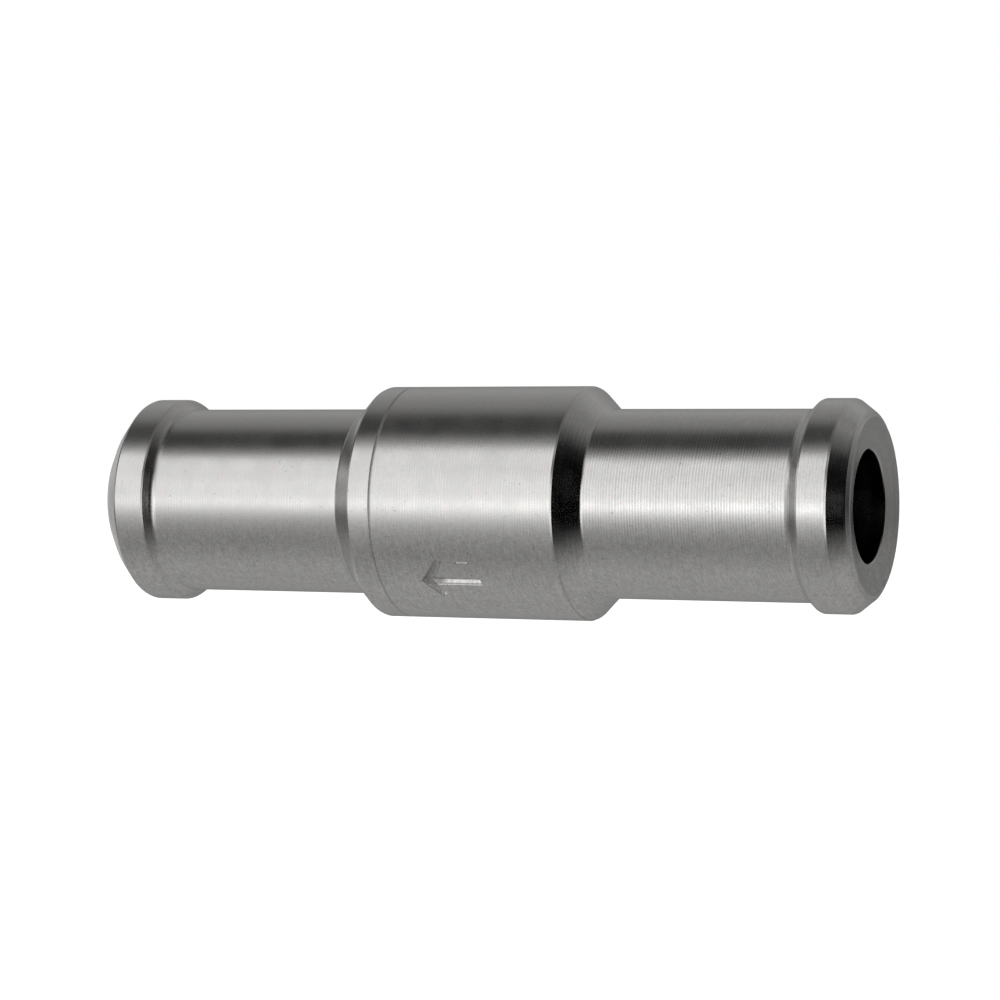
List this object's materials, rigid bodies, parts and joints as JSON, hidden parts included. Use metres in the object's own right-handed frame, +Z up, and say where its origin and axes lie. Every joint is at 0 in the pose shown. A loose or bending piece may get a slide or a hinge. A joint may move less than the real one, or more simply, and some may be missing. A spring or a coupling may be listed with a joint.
{
  "type": "inline check valve",
  "caption": "In-line non-return valve with two beaded hose tails, a turned metal barrel with a flow arrow, and a sprung poppet inside.",
  "frame": {"origin": "on the flow axis, half way between the two end faces (centre of the bounding box)", "axes": "+X along the flow axis towards the inlet, so flow runs towards -X; +Z up; the stamped arrow faces -Y and down"},
  "size_m": [0.0512, 0.0148, 0.0148],
  "materials": {
    "turned_body": "fine turned, slightly satin",
    "turned_cap": "fine turned, slightly satin",
    "seal_rubber": "matte black",
    "turned_trim": "bright turned",
    "spring_wire": "drawn wire",
    "guide_plastic": "natural acetal",
    "ring_steel": "stamped spring steel"
  },
  "bodies": {
    "housing": {"valve_body": "turned_body", "outlet_cap": "turned_cap", "cap_o_ring": "seal_rubber", "stem_guide": "guide_plastic", "guide_snap_ring": "ring_steel", "return_spring": "spring_wire"},
    "poppet": {"poppet_head": "turned_trim", "poppet_stem": "turned_trim", "poppet_o_ring": "seal_rubber", "stem_clip": "ring_steel"}
  },
  "joints": [
    {"name": "poppet_slide", "type": "slide", "parent": "housing", "child": "poppet", "axis": [-1, 0, 0], "range_m": [0, 0.0025], "stiffness_N_per_m": 400, "springref_m": -0.0021, "deforming": ["return_spring"]}
  ]
}
